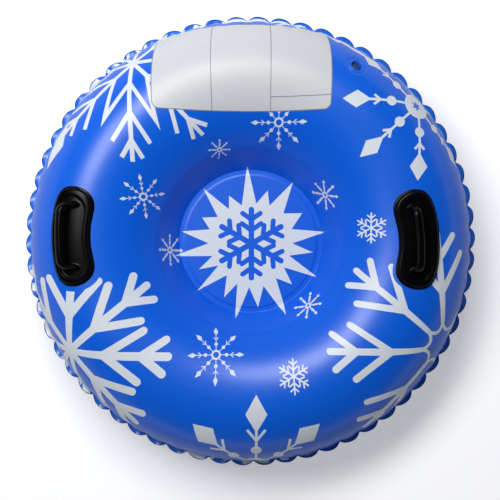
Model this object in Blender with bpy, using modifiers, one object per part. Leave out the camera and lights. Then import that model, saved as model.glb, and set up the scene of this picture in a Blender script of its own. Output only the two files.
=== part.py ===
"""A round inflatable snow tube, lying flat on the ground.

Two round PVC sheets are welded together along a scalloped outer rim and round
a ring at the seat, so that the band between the two welds holds the air. A
moulded handle is welded on at each side of the crown, and a small valve hangs
under the upper sheet, pushed in flush.

Metres, +Z up. The ground is z = 0 and the ring's axis is the Z axis.
"""
import math

import bmesh
import bpy
import numpy as np
from mathutils import Matrix, Vector

# Driving sizes of the inflated ring. Its height follows from them.
RIM_RADIUS = 0.5000             # tips of the scallops
RIM_WELD_WIDTH = 0.0128         # from the tips in to the outer seam
SCALLOP_DEPTH = 0.0105          # from a scallop's tip to the valley beside it
SCALLOP_LIFT = 0.0030           # how far the rim waves up and down
SEAT_RADIUS = 0.1590            # foot of the inner wall
CREASE_WIDTH = 0.0430           # from the foot out to the crease between wall and crown
CREST_FLAT = 0.0340             # width of the level band at crest and ground
UPPER_SHEET = 0.0006            # thickness of the printed sheet
LOWER_SHEET = 0.0009            # thickness of the running sheet
SEAT_WELD_WIDTH = 0.0070        # pressed ring where the seat's layers are fused
SEAT_WELD_EDGE = 0.0025         # slope at each side of that ring
SEAT_LAYER_LIFT = 0.0012        # how far each seat layer stands off the weld
GAP = 0.0003                    # clearance between pieces that touch

# Driving sizes of the handles
HANDLE_LENGTH = 0.2190
HANDLE_WIDTH = 0.0900
HANDLE_SKIRT = 0.0025           # thickness of the welded skirt
HANDLE_PAD_INSET = 0.0055       # skirt left showing round the pad
HANDLE_PAD_HEIGHT = 0.0100      # top of the pad over the sheet
HANDLE_PAD_ROUND = 0.0045
WELL_LENGTH = 0.1370            # finger well sunk in the pad
WELL_WIDTH = 0.0490
WELL_SHIFT = 0.0010             # the well lies a little towards the rim
WELL_FLOOR = 0.0040             # height of the well's floor over the sheet
GRIP_SPAN = 0.1270              # between the centres of the grip's legs
GRIP_REACH = 0.0420             # length of the legs
GRIP_BEND = 0.0170              # radius at the corners
GRIP_WIDTH = 0.0160
GRIP_THICKNESS = 0.0120
GRIP_FOOT_SHIFT = -0.0040       # the legs stand a little towards the seat
GRIP_BOW = 0.0045               # how far the grip's middle bows towards the seat
SKIRT_ROUND = 0.0008            # edge of the skirt
BEND_SPACING_OUT = 0.0100       # strips in which a handle bends over the crown
BEND_SPACING_ROUND = 0.0190     # strips in which it bends round the ring
LEFT_HANDLE = dict(inset=0.1040, azimuth=178.5, lean=37.0, twist=0.0)
RIGHT_HANDLE = dict(inset=0.1280, azimuth=0.6, lean=9.0, twist=-3.0)

# Driving sizes of the valve
VALVE_INSET = 0.0449            # from the outer seam in to the valve
VALVE_AZIMUTH = 58.8
VALVE_FLANGE_RADIUS = 0.0205
VALVE_WALL = 0.0011
VALVE_POCKET_RADIUS = 0.0122    # inside of the pocket that the stem folds into
VALVE_POCKET_DEPTH = 0.0120
VALVE_NECK_RADIUS = 0.0075
VALVE_BORE_RADIUS = 0.0046
VALVE_LIP_RADIUS = 0.0090
VALVE_LIP_THICKNESS = 0.0020
VALVE_TRAVEL = 0.0130           # how far the stem pulls out
VALVE_END_CLEARANCE = 0.0009    # stem left inside the pocket when pulled out
VALVE_PUNCH_DEPTH = 0.0044      # tool that cuts the sheet's hole
STOPPER_HEAD_THICKNESS = 0.0022
STOPPER_SINK = 0.0007           # head below the sheet's outer face
STOPPER_PLUG_LENGTH = 0.0080
STOPPER_PLUG_TIP_RADIUS = 0.0038
STRAP_THICKNESS = 0.0010
STRAP_WIDTH = 0.0050
FLAP_RADIUS = 0.0062
FLAP_THICKNESS = 0.0008

# Counts
SCALLOPS = 62                   # also the number of facets round the sheets
RIM_CUTS = 3                    # extra rim points in each scallop
VALVE_SEGMENTS = 24
WALL_STEPS = 3
CROWN_STEPS = 3
SECTION_STEPS = 2000            # fine steps in which the section is worked out

# Shapes, as shares
WALL_BEND_SHARES = (0.56, 0.47)  # control point of the wall, foot to crease
GRIP_FLARE_SHARE = 1.6          # girth of the legs at their feet
KIDNEY_SHARES = (               # place in width and length, heading, handles before and after
    ((0.50, 0.0), (0, 1), 0.26, 0.26),          # bulge towards the rim
    ((0.11, 0.5), (-1, 0), 0.30, 0.27),         # one end
    ((-0.50, 0.265), (0, -1), 0.13, 0.09),      # lobe beside the waist
    ((-0.45, 0.0), (0, -1), 0.13, 0.13),        # waist towards the seat
    ((-0.50, -0.265), (0, -1), 0.09, 0.13),
    ((0.11, -0.5), (1, 0), 0.27, 0.30),
)

# Worked out from the sizes above
MERGE_DISTANCE = GAP / 10       # points closer than this are one
FINE_MERGE_DISTANCE = GAP / 100
SEAM_RADIUS = RIM_RADIUS - RIM_WELD_WIDTH
SEAM_TOP = GAP / 2 + UPPER_SHEET
MIDDLE_RADIUS = (SEAM_RADIUS + SEAT_RADIUS) / 2
HALF_WIDTH = (SEAM_RADIUS - SEAT_RADIUS) / 2
CREASE_RADIUS = SEAT_RADIUS + CREASE_WIDTH
VALVE_RADIUS = SEAM_RADIUS - VALVE_INSET


def clear_scene():
    for obj in list(bpy.data.objects):
        bpy.data.objects.remove(obj, do_unlink=True)


def new_collection(name):
    collection = bpy.data.collections.new(name)
    bpy.context.scene.collection.children.link(collection)
    return collection


def principled(name, colour, roughness, transmission=0.0):
    material = bpy.data.materials.new(name)
    material.use_nodes = True
    shader = material.node_tree.nodes["Principled BSDF"]
    shader.inputs["Base Color"].default_value = (*colour, 1.0)
    shader.inputs["Roughness"].default_value = roughness
    shader.inputs["Metallic"].default_value = 0.0
    shader.inputs["Transmission Weight"].default_value = transmission
    return material


def add_object(name, mesh, collection, material=None):
    obj = bpy.data.objects.new(name, mesh)
    collection.objects.link(obj)
    if material:
        mesh.materials.clear()
        mesh.materials.append(material)
    return obj


def smooth(mesh, angle=35.0):
    mesh.shade_smooth()
    mesh.set_sharp_from_angle(angle=math.radians(angle))


def evaluated_mesh(obj):
    """The object's mesh with its modifiers or its bevel, welded, in its own axes."""
    bpy.context.view_layer.update()
    graph = bpy.context.evaluated_depsgraph_get()
    mesh = bpy.data.meshes.new_from_object(obj.evaluated_get(graph))
    bm = bmesh.new()
    bm.from_mesh(mesh)
    bmesh.ops.remove_doubles(bm, verts=bm.verts, dist=FINE_MERGE_DISTANCE)
    bm.to_mesh(mesh)
    bm.free()
    return mesh


# The ring's section: the shape that air pressure gives two thin sheets welded along
# two circles. Such a sheet pulls only along its section, not round the ring, so the
# sine of its slope falls from foot to seam with the square of the radius.

def pressed_heights(turns, crest_radius):
    """Heights over the seam, where the section's level point has the radius given."""
    middles = (turns[1:] + turns[:-1]) / 2
    radii = MIDDLE_RADIUS - HALF_WIDTH * np.cos(middles)
    slope_sine = (crest_radius ** 2 - radii ** 2) / (SEAM_RADIUS ** 2 - crest_radius ** 2)
    run = HALF_WIDTH * np.sin(middles) * np.diff(turns)
    rise = run * slope_sine / np.sqrt(1 - slope_sine ** 2)
    return np.concatenate([[0.0], np.cumsum(rise)])


def crest_radius():
    """The level point's radius with which the section comes back down to the seam."""
    turns = np.linspace(0, math.pi, SECTION_STEPS + 1)
    low = SEAT_RADIUS
    high = math.sqrt((SEAM_RADIUS ** 2 + SEAT_RADIUS ** 2) / 2)
    for halving in range(40):
        middle = (low + high) / 2
        if pressed_heights(turns, middle)[-1] > 0:
            high = middle
        else:
            low = middle
    return low


TURNS = np.linspace(0, math.pi, SECTION_STEPS + 1)
CREST_RADIUS = crest_radius()
RADII = MIDDLE_RADIUS - HALF_WIDTH * np.cos(TURNS)
HEIGHTS = SEAM_TOP + pressed_heights(TURNS, CREST_RADIUS)
LENGTHS = np.concatenate([[0.0], np.cumsum(np.hypot(np.diff(RADII), np.diff(HEIGHTS)))])
CREST_OUTER = CREST_RADIUS + CREST_FLAT / 2
CREST_HEIGHT = float(np.interp(CREST_OUTER, RADII, HEIGHTS))
CREST_INNER = float(RADII[np.argmax(HEIGHTS > CREST_HEIGHT)])
HALF_HEIGHT = CREST_HEIGHT


def section_at(radius):
    """Radius, and height over the middle plane, of the ring's outer surface."""
    return radius, min(CREST_HEIGHT, float(np.interp(radius, RADII, HEIGHTS)))


def wall_point(share):
    """A point of the inner wall, a bent line from its foot to the crease."""
    foot = np.array([SEAT_RADIUS, SEAM_TOP])
    crease = np.array(section_at(CREASE_RADIUS))
    bend = foot + (crease - foot) * np.array(WALL_BEND_SHARES)
    point = (1 - share) ** 2 * foot + 2 * share * (1 - share) * bend + share ** 2 * crease
    return tuple(point)


def valve_facet_radii():
    """The radii between which the section runs straight, so the valve lies flat."""
    middle = np.interp(VALVE_RADIUS, RADII, LENGTHS)
    half = VALVE_FLANGE_RADIUS + 2 * UPPER_SHEET
    return tuple(np.interp([middle - half, middle + half], LENGTHS, RADII))


def crown_points():
    """The section from the crease to the seam, with the level band and the valve's facet."""
    valve_start, valve_end = valve_facet_radii()
    points = []
    for start, end in ((CREASE_RADIUS, CREST_INNER), (CREST_OUTER, valve_start),
                       (valve_end, SEAM_RADIUS)):
        ends = np.interp([start, end], RADII, LENGTHS)
        steps = np.linspace(*ends, CROWN_STEPS + 1)
        points += [section_at(radius) for radius in np.interp(steps, LENGTHS, RADII)]
    return points


def sheet_profile():
    """Outer surface of the upper sheet from the axis to the seam, as radius and height."""
    weld_outer = SEAT_RADIUS - SEAT_WELD_EDGE
    weld_inner = weld_outer - SEAT_WELD_WIDTH
    seat = SEAM_TOP + SEAT_LAYER_LIFT
    points = [(0.0, seat), (weld_inner - SEAT_WELD_EDGE, seat)]
    points += [(weld_inner, SEAM_TOP), (weld_outer, SEAM_TOP)]
    points += [wall_point(step / WALL_STEPS) for step in range(WALL_STEPS)]
    points += crown_points()
    return points


def rim_wave(azimuth):
    """Radius and lift of the rim's edge, one wave to a scallop."""
    phase = SCALLOPS * (azimuth - math.radians(VALVE_AZIMUTH))
    radius = RIM_RADIUS - SCALLOP_DEPTH * (1 - math.cos(phase)) / 2
    return radius, SCALLOP_LIFT * math.sin(phase)


def make_sheet(name, side, thickness, collection, material):
    """One sheet: seat, seat weld, wall, crown and its half of the scalloped rim.

    side is 1 for the upper sheet and -1 for the lower one, its mirror image.
    """
    bm = bmesh.new()
    shift = thickness - UPPER_SHEET
    verts = [bm.verts.new((radius, 0, height + shift * (height < HALF_HEIGHT / 2)))
             for radius, height in sheet_profile()]
    edges = [bm.edges.new(pair) for pair in zip(verts, verts[1:])]
    start = math.radians(VALVE_AZIMUTH) + math.pi / SCALLOPS
    bmesh.ops.rotate(bm, verts=verts, matrix=Matrix.Rotation(start, 3, "Z"))
    bmesh.ops.spin(bm, geom=verts + edges, axis=(0, 0, 1), angle=math.tau,
                   steps=SCALLOPS, use_merge=True)
    bmesh.ops.remove_doubles(bm, verts=bm.verts, dist=MERGE_DISTANCE)

    seam = [edge for edge in bm.edges if edge.is_boundary]
    bmesh.ops.subdivide_edges(bm, edges=seam, cuts=RIM_CUTS)
    seam = [edge for edge in bm.edges if edge.is_boundary]
    rim = bmesh.ops.extrude_edge_only(bm, edges=seam)["geom"]
    for vert in (item for item in rim if isinstance(item, bmesh.types.BMVert)):
        azimuth = math.atan2(vert.co.y, vert.co.x)
        radius, lift = rim_wave(azimuth)
        vert.co.x, vert.co.y = radius * math.cos(azimuth), radius * math.sin(azimuth)
        vert.co.z += side * lift

    bmesh.ops.recalc_face_normals(bm, faces=bm.faces)
    crest = max(bm.faces, key=lambda face: face.calc_center_median().z)
    if crest.normal.z < 0:
        bmesh.ops.reverse_faces(bm, faces=bm.faces)
    if side < 0:
        bmesh.ops.scale(bm, verts=bm.verts, vec=(1, 1, -1))
        bmesh.ops.reverse_faces(bm, faces=bm.faces)
    bmesh.ops.translate(bm, verts=bm.verts, vec=(0, 0, HALF_HEIGHT))

    mesh = bpy.data.meshes.new(name)
    bm.to_mesh(mesh)
    bm.free()
    smooth(mesh, 50.0)
    sheet = add_object(name, mesh, collection, material)
    shell = sheet.modifiers.new("thickness", "SOLIDIFY")
    shell.thickness = thickness
    shell.offset = -1
    shell.use_even_offset = True
    return sheet


# Handles. They are modelled flat, with X towards the rim, Y round the ring and Z
# off the sheet, and are then bent over the crown.

def kidney_curve(name, width, length, centre_x, thickness, base):
    """A flat kidney-shaped plate: bulging towards the rim, waisted towards the seat."""
    curve = bpy.data.curves.new(name, "CURVE")
    curve.dimensions = "2D"
    curve.fill_mode = "BOTH"
    curve.extrude = thickness / 2
    spline = curve.splines.new("BEZIER")
    spline.bezier_points.add(len(KIDNEY_SHARES) - 1)
    spline.use_cyclic_u = True
    spline.resolution_u = 6
    size = Vector((width, length, 0))
    for point, (place, heading, before, after) in zip(spline.bezier_points, KIDNEY_SHARES):
        co = Vector((place[0] * width + centre_x, place[1] * length, 0))
        along = Vector((heading[0], heading[1], 0)) * size
        point.handle_left_type = point.handle_right_type = "FREE"
        point.co = co
        point.handle_left = co - along * before
        point.handle_right = co + along * after
    plate = bpy.data.objects.new(name, curve)
    bpy.context.scene.collection.objects.link(plate)
    mesh = evaluated_mesh(plate)
    bpy.data.objects.remove(plate)
    bm = bmesh.new()
    bm.from_mesh(mesh)
    bmesh.ops.dissolve_limit(bm, angle_limit=math.radians(0.5), verts=bm.verts, edges=bm.edges)
    bmesh.ops.translate(bm, verts=bm.verts, vec=(0, 0, base + thickness / 2))
    return mesh, bm


def round_top(bm, radius, segments):
    """Round the outline of the plate's top face."""
    top = max(bm.faces, key=lambda face: face.calc_center_median().z)
    bmesh.ops.bevel(bm, geom=list(top.edges), offset=radius, offset_type="OFFSET",
                    segments=segments, profile=0.5, affect="EDGES", clamp_overlap=True)


def grip_mesh(lean):
    """The staple-shaped grip: an oval bar on two legs, leaning towards the rim."""
    curve = bpy.data.curves.new("grip", "CURVE")
    curve.dimensions = "3D"
    curve.bevel_depth = GRIP_THICKNESS / 2
    curve.bevel_resolution = 2
    curve.use_fill_caps = True
    half = GRIP_SPAN / 2
    corner = [(half - GRIP_BEND * (1 - math.cos(turn)),
               GRIP_REACH - GRIP_BEND * (1 - math.sin(turn)))
              for turn in np.linspace(0, math.pi / 2, 5)]
    leg = [(half, -GRIP_WIDTH), (half, HANDLE_PAD_HEIGHT)]
    path = leg + corner
    path += [(-along, height) for along, height in reversed(path)]
    spline = curve.splines.new("POLY")
    spline.points.add(len(path) - 1)
    for point, (along, height) in zip(spline.points, path):
        point.co = (along, height, 0, 1)
    spline.points[0].radius = spline.points[-1].radius = GRIP_FLARE_SHARE
    bar = bpy.data.objects.new("grip", curve)
    bpy.context.scene.collection.objects.link(bar)
    mesh = evaluated_mesh(bar)
    bpy.data.objects.remove(bar)
    oval = Matrix.Diagonal((1, 1, GRIP_WIDTH / GRIP_THICKNESS, 1))
    upright = Matrix(((0, 0, 1, 0), (1, 0, 0, 0), (0, 1, 0, 0), (0, 0, 0, 1)))
    lean_over = Matrix.Rotation(math.radians(lean), 4, "Y")
    place = Matrix.Translation((GRIP_FOOT_SHIFT, 0, 0))
    mesh.transform(place @ lean_over @ upright @ oval)
    for vert in mesh.vertices:
        vert.co.x += GRIP_BOW * ((vert.co.y / half) ** 2 - 1)
    bm = bmesh.new()
    bm.from_mesh(mesh)
    cut = bmesh.ops.bisect_plane(bm, geom=bm.verts[:] + bm.edges[:] + bm.faces[:],
                                 plane_co=(0, 0, HANDLE_SKIRT / 2), plane_no=(0, 0, 1),
                                 clear_inner=True)["geom_cut"]
    rims = [item for item in cut if isinstance(item, bmesh.types.BMEdge)]
    bmesh.ops.holes_fill(bm, edges=rims)
    bm.to_mesh(mesh)
    bm.free()
    return mesh


def joined(first, second, operation):
    """A new mesh from two closed ones."""
    keeper = bpy.data.objects.new("keeper", first)
    tool = bpy.data.objects.new("tool", second)
    for obj in (keeper, tool):
        bpy.context.scene.collection.objects.link(obj)
    boolean = keeper.modifiers.new("join", "BOOLEAN")
    boolean.object = tool
    boolean.operation = operation
    mesh = evaluated_mesh(keeper)
    for obj in (keeper, tool):
        bpy.data.objects.remove(obj)
    return mesh


def slice_for_bending(mesh, spacing_x, spacing_y):
    """Cut the flat faces into strips, so that they can bend."""
    bm = bmesh.new()
    bm.from_mesh(mesh)
    for axis, spacing, reach in ((0, spacing_x, HANDLE_WIDTH), (1, spacing_y, HANDLE_LENGTH)):
        normal = Vector((axis == 0, axis == 1, 0))
        steps = int(reach / 2 / spacing)
        for step in range(-steps, steps + 1):
            bmesh.ops.bisect_plane(bm, geom=bm.verts[:] + bm.edges[:] + bm.faces[:],
                                   dist=FINE_MERGE_DISTANCE,
                                   plane_co=normal * step * spacing,
                                   plane_no=normal)
    bm.to_mesh(mesh)
    bm.free()


def bend_over_crown(mesh, inset, azimuth, twist):
    """Lay a flat-modelled piece on the ring, its base a small gap off the sheet."""
    middle = np.interp(SEAM_RADIUS - inset, RADII, LENGTHS)
    turned = Matrix.Rotation(math.radians(twist), 3, "Z")
    for vert in mesh.vertices:
        along, across, off = turned @ vert.co
        place = middle + along
        behind, at, ahead = (
            np.array([np.interp(spot, LENGTHS, RADII), np.interp(spot, LENGTHS, HEIGHTS)])
            for spot in (place - HANDLE_SKIRT, place, place + HANDLE_SKIRT))
        tangent = (ahead - behind) / np.linalg.norm(ahead - behind)
        normal = np.array([-tangent[1], tangent[0]])
        out, up = at + normal * (off + GAP)
        angle = math.radians(azimuth) + across / at[0]
        vert.co = (out * math.cos(angle), out * math.sin(angle), up + HALF_HEIGHT)


def make_handle(name, collection, material, inset, azimuth, lean, twist):
    """Skirt, pad with a finger well, and grip, moulded as one."""
    mesh, bm = kidney_curve("skirt", HANDLE_WIDTH, HANDLE_LENGTH, 0.0, HANDLE_SKIRT, 0.0)
    round_top(bm, SKIRT_ROUND, 1)
    bm.to_mesh(mesh)
    bm.free()

    pad_base = HANDLE_SKIRT / 2
    pad, bm = kidney_curve("pad", HANDLE_WIDTH - 2 * HANDLE_PAD_INSET,
                           HANDLE_LENGTH - 2 * HANDLE_PAD_INSET, 0.0,
                           HANDLE_PAD_HEIGHT - pad_base, pad_base)
    round_top(bm, HANDLE_PAD_ROUND, 2)
    bm.to_mesh(pad)
    bm.free()

    well, bm = kidney_curve("well", WELL_WIDTH, WELL_LENGTH, WELL_SHIFT,
                            HANDLE_PAD_HEIGHT, WELL_FLOOR)
    bm.to_mesh(well)
    bm.free()

    mesh = joined(joined(mesh, pad, "UNION"), well, "DIFFERENCE")
    slice_for_bending(mesh, BEND_SPACING_OUT, BEND_SPACING_ROUND)
    mesh = joined(mesh, grip_mesh(lean), "UNION")
    bend_over_crown(mesh, inset, azimuth, twist)
    mesh.name = name
    smooth(mesh, 40.0)
    return add_object(name, mesh, collection, material)


# The valve. It is modelled upright, with Z along the stem and z = 0 at the sheet's
# outer face, and stands square on one facet of the upper sheet.

def valve_matrix():
    start, end = (section_at(radius) for radius in valve_facet_radii())
    across = math.cos(math.pi / SCALLOPS)
    middle = Vector(((start[0] + end[0]) / 2 * across, 0, (start[1] + end[1]) / 2 + HALF_HEIGHT))
    uphill = Vector(((start[0] - end[0]) * across, 0, start[1] - end[1])).normalized()
    outward = Vector((uphill.z, 0, -uphill.x))
    round_ring = outward.cross(uphill).normalized()
    frame = Matrix((uphill, round_ring, outward)).transposed().to_4x4()
    spin = Matrix.Rotation(math.radians(VALVE_AZIMUTH), 4, "Z")
    return spin @ Matrix.Translation(middle) @ frame


def turned_mesh(name, profile):
    """A closed outline of radius and height, turned about Z."""
    bm = bmesh.new()
    verts = [bm.verts.new((radius, 0, height)) for radius, height in profile]
    edges = [bm.edges.new(pair) for pair in zip(verts, verts[1:] + verts[:1])]
    bmesh.ops.spin(bm, geom=verts + edges, axis=(0, 0, 1), angle=math.tau,
                   steps=VALVE_SEGMENTS, use_merge=True)
    bmesh.ops.remove_doubles(bm, verts=bm.verts, dist=MERGE_DISTANCE)
    flat = [edge for edge in bm.edges if len(edge.link_faces) == 0]
    bmesh.ops.delete(bm, geom=flat, context="EDGES")
    bmesh.ops.recalc_face_normals(bm, faces=bm.faces)
    mesh = bpy.data.meshes.new(name)
    bm.to_mesh(mesh)
    bm.free()
    smooth(mesh)
    return mesh


def solid_profile(*points):
    """An outline that starts and ends on the axis."""
    return [(0.0, points[0][1]), *points, (0.0, points[-1][1])]


def make_valve(collection, cutters, clear, blue):
    """Flange with its pocket, sliding stem, flap, stopper and strap, at rest pushed in."""
    frame = valve_matrix()
    flange_top = -UPPER_SHEET - GAP
    flange_base = flange_top - VALVE_WALL
    pocket = VALVE_POCKET_RADIUS
    floor = flange_top - VALVE_POCKET_DEPTH
    guide = VALVE_NECK_RADIUS + GAP
    flange = turned_mesh("valve_flange", [
        (pocket, flange_top), (VALVE_FLANGE_RADIUS, flange_top),
        (VALVE_FLANGE_RADIUS, flange_base), (pocket + VALVE_WALL, flange_base),
        (pocket + VALVE_WALL, floor - VALVE_WALL), (guide, floor - VALVE_WALL),
        (guide, floor), (pocket, floor)])

    head_top = -STOPPER_SINK
    head_base = head_top - STOPPER_HEAD_THICKNESS
    lip_top = head_base - GAP
    lip_base = lip_top - VALVE_LIP_THICKNESS
    stem_end = floor - VALVE_WALL - VALVE_TRAVEL - VALVE_END_CLEARANCE
    stem = turned_mesh("valve_stem", [
        (VALVE_BORE_RADIUS, lip_top), (VALVE_LIP_RADIUS, lip_top),
        (VALVE_LIP_RADIUS, lip_base), (VALVE_NECK_RADIUS, lip_base),
        (VALVE_NECK_RADIUS, stem_end), (VALVE_BORE_RADIUS, stem_end)])

    plug = VALVE_BORE_RADIUS - GAP
    stopper = turned_mesh("valve_stopper", solid_profile(
        (VALVE_LIP_RADIUS, head_top), (VALVE_LIP_RADIUS, head_base), (plug, head_base),
        (STOPPER_PLUG_TIP_RADIUS, head_base - STOPPER_PLUG_LENGTH)))

    flap_top = stem_end - GAP
    flap = turned_mesh("valve_flap", solid_profile(
        (FLAP_RADIUS, flap_top), (FLAP_RADIUS, flap_top - FLAP_THICKNESS)))
    hinge = Vector((-FLAP_RADIUS, 0, flap_top))
    flap.transform(Matrix.Translation(-hinge))

    bm = bmesh.new()
    size = (STRAP_THICKNESS, STRAP_WIDTH, head_top - lip_base)
    bmesh.ops.create_cube(bm, size=1, matrix=Matrix.Diagonal((*size, 1)))
    bmesh.ops.translate(bm, verts=bm.verts, vec=(
        VALVE_LIP_RADIUS + GAP + STRAP_THICKNESS / 2, 0, (head_top + lip_base) / 2))
    strap = bpy.data.meshes.new("valve_strap")
    bm.to_mesh(strap)
    bm.free()

    add_object("valve_flange", flange, collection, blue).matrix_world = frame
    add_object("valve_stem", stem, collection, clear).matrix_world = frame
    add_object("valve_stopper", stopper, collection, clear).matrix_world = frame
    add_object("valve_strap", strap, collection, clear).matrix_world = frame
    add_object("valve_flap", flap, collection, clear).matrix_world = (
        frame @ Matrix.Translation(hinge))

    bm = bmesh.new()
    hole = pocket + VALVE_WALL - GAP
    bmesh.ops.create_cone(bm, cap_ends=True, segments=VALVE_SEGMENTS, radius1=hole,
                          radius2=hole, depth=VALVE_PUNCH_DEPTH)
    punch_mesh = bpy.data.meshes.new("valve_hole")
    bm.to_mesh(punch_mesh)
    bm.free()
    punch = add_object("valve_hole", punch_mesh, cutters)
    punch.matrix_world = frame
    punch.hide_render = True
    punch.display_type = "WIRE"
    return punch


def build():
    clear_scene()
    parts = new_collection("snow_tube")
    cutters = new_collection("cutters")
    blue = principled("blue_pvc", (0.012, 0.085, 0.60), 0.32)
    under = principled("running_pvc", (0.010, 0.060, 0.42), 0.40)
    black = principled("black_pvc", (0.012, 0.012, 0.014), 0.36)
    clear = principled("clear_pvc", (0.62, 0.66, 0.72), 0.18, 0.4)

    top = make_sheet("top_sheet", 1, UPPER_SHEET, parts, blue)
    make_sheet("bottom_sheet", -1, LOWER_SHEET, parts, under)
    make_handle("handle_left", parts, black, **LEFT_HANDLE)
    make_handle("handle_right", parts, black, **RIGHT_HANDLE)
    punch = make_valve(parts, cutters, clear, blue)
    cut = top.modifiers.new("valve hole", "BOOLEAN")
    cut.object = punch
    cut.operation = "DIFFERENCE"


build()
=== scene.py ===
"""Visual model of a round inflatable snow tube lying flat, seen from straight above."""
import math

import bmesh
import bpy
import numpy as np
from mathutils import Matrix, Vector, geometry


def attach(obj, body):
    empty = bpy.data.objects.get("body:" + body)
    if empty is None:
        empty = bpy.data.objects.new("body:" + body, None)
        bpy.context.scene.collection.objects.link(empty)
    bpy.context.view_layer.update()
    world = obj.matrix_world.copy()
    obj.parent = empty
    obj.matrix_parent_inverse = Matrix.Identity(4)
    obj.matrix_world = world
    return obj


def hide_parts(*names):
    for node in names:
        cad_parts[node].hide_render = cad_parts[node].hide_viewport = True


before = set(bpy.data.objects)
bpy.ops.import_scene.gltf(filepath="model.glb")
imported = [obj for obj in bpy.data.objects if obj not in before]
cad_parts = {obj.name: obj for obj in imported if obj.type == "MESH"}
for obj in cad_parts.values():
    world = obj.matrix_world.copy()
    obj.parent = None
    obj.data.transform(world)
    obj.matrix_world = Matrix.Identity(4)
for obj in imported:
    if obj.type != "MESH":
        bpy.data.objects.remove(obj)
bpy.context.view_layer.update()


# Studio. A plain white floor in a dim room, with two soft boxes side by side over the
# tube's top and its upper left, which give the crown its long sheen.

def srgb(code):
    """A hex colour as linear red, green, blue and alpha."""
    values = [int(code[place:place + 2], 16) / 255 for place in (1, 3, 5)]
    linear = [v / 12.92 if v <= 0.04045 else ((v + 0.055) / 1.055) ** 2.4 for v in values]
    return (*linear, 1.0)


def add_node(tree, kind, settings=(), inputs=(), links=()):
    """A node with its settings, its input values and its incoming links."""
    node = tree.nodes.new(kind)
    for name, value in dict(settings).items():
        setattr(node, name, value)
    for name, value in dict(inputs).items():
        node.inputs[name].default_value = value
    for name, source in dict(links).items():
        tree.links.new(source, node.inputs[name])
    return node


def new_material(name):
    """An empty node material, its tree and its Principled shader."""
    material = bpy.data.materials.new(name)
    material.use_nodes = True
    return material, material.node_tree, material.node_tree.nodes["Principled BSDF"]


def add_object(name, data):
    """A mesh, light, camera or curve as a new object of the scene."""
    obj = bpy.data.objects.new(name, data)
    bpy.context.scene.collection.objects.link(obj)
    return obj


def mesh_object(bm, name):
    """A finished bmesh as a new object. The bmesh is freed."""
    mesh = bpy.data.meshes.new(name)
    bm.to_mesh(mesh)
    bm.free()
    return add_object(name, mesh)


FLOOR_SIZE = 12.0
FLOOR_SHADE = "#f8f9fc"
FLOOR_GLOW = 0.40               # brings the view of the floor up to white

floor_paper, tree, shader = new_material("studio_paper")
shader.inputs["Base Color"].default_value = srgb(FLOOR_SHADE)
shader.inputs["Roughness"].default_value = 0.9
ray = add_node(tree, "ShaderNodeLightPath")
glow = add_node(tree, "ShaderNodeEmission", inputs={"Color": (1, 1, 1, 1)})
seen = add_node(tree, "ShaderNodeMath", {"operation": "MAXIMUM"},
                links={0: ray.outputs["Is Camera Ray"], 1: ray.outputs["Is Transmission Ray"]})
strength = add_node(tree, "ShaderNodeMath", {"operation": "MULTIPLY"}, {1: FLOOR_GLOW},
                    {0: seen.outputs[0]})
tree.links.new(strength.outputs[0], glow.inputs["Strength"])
both = add_node(tree, "ShaderNodeAddShader",
                links={0: shader.outputs[0], 1: glow.outputs[0]})
tree.links.new(both.outputs[0], tree.nodes["Material Output"].inputs["Surface"])

bm = bmesh.new()
bmesh.ops.create_grid(bm, x_segments=1, y_segments=1, size=FLOOR_SIZE / 2)
floor = mesh_object(bm, "floor")
floor.data.materials.append(floor_paper)

ROOM_LOW, ROOM_HIGH = 0.04, 0.30        # heights between which the white backdrop fades out
ROOM_DIM = 0.05                 # strength of the room above the backdrop

world = bpy.data.worlds.new("dim_room")
world.use_nodes = True
tree = world.node_tree
direction = add_node(tree, "ShaderNodeTexCoord")
split = add_node(tree, "ShaderNodeSeparateXYZ", links={"Vector": direction.outputs["Generated"]})
room = add_node(tree, "ShaderNodeMapRange", {"interpolation_type": "SMOOTHSTEP"},
                {"From Min": ROOM_LOW, "From Max": ROOM_HIGH, "To Min": 1.0, "To Max": ROOM_DIM},
                {"Value": split.outputs["Z"]})
ray = add_node(tree, "ShaderNodeLightPath")
backdrop = add_node(tree, "ShaderNodeMath", {"operation": "MAXIMUM"},
                    links={0: room.outputs["Result"], 1: ray.outputs["Is Camera Ray"]})
tree.nodes["Background"].inputs["Color"].default_value = srgb("#fafbfd")
tree.links.new(backdrop.outputs[0], tree.nodes["Background"].inputs["Strength"])
bpy.context.scene.world = world


def soft_light(name, place, power):
    """A rectangular softbox, its long side level, that faces the tube."""
    lamp = bpy.data.lights.new(name, "AREA")
    lamp.shape = "RECTANGLE"
    lamp.size, lamp.size_y = SOFTBOX_SIZE
    lamp.energy = power
    softbox = add_object(name, lamp)
    softbox.location = place
    softbox.rotation_euler = (Vector((0, 0, 0)) - softbox.location).to_track_quat("-Z", "Y").to_euler()


SOFTBOX_SIZE = (1.35, 1.00)
# Name, place in metres and power in watts.
soft_light("top_softbox", (-0.28, 1.78, 2.90), 42)
soft_light("side_softbox", (-1.25, 0.95, 2.90), 46)

CAMERA_DISTANCE = 3.0           # from the lens to the seam's height
SEAM_HEIGHT = 0.1248
VIEW_WIDTH = 1.114              # what the picture spans at the seam's height
VIEW_MIDDLE = (-0.0011, -0.0200)

lens = bpy.data.cameras.new("camera")
lens.sensor_width = 36.0
lens.lens = lens.sensor_width * CAMERA_DISTANCE / VIEW_WIDTH
lens.clip_end = 30.0
camera = add_object("camera", lens)
camera.location = (*VIEW_MIDDLE, SEAM_HEIGHT + CAMERA_DISTANCE)
bpy.context.scene.camera = camera
bpy.context.scene.view_settings.view_transform = "Standard"


# The ring of air. Two round PVC sheets are welded along the rim and round the seat,
# and air pressure gives the band between the welds the section worked out here.

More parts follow.
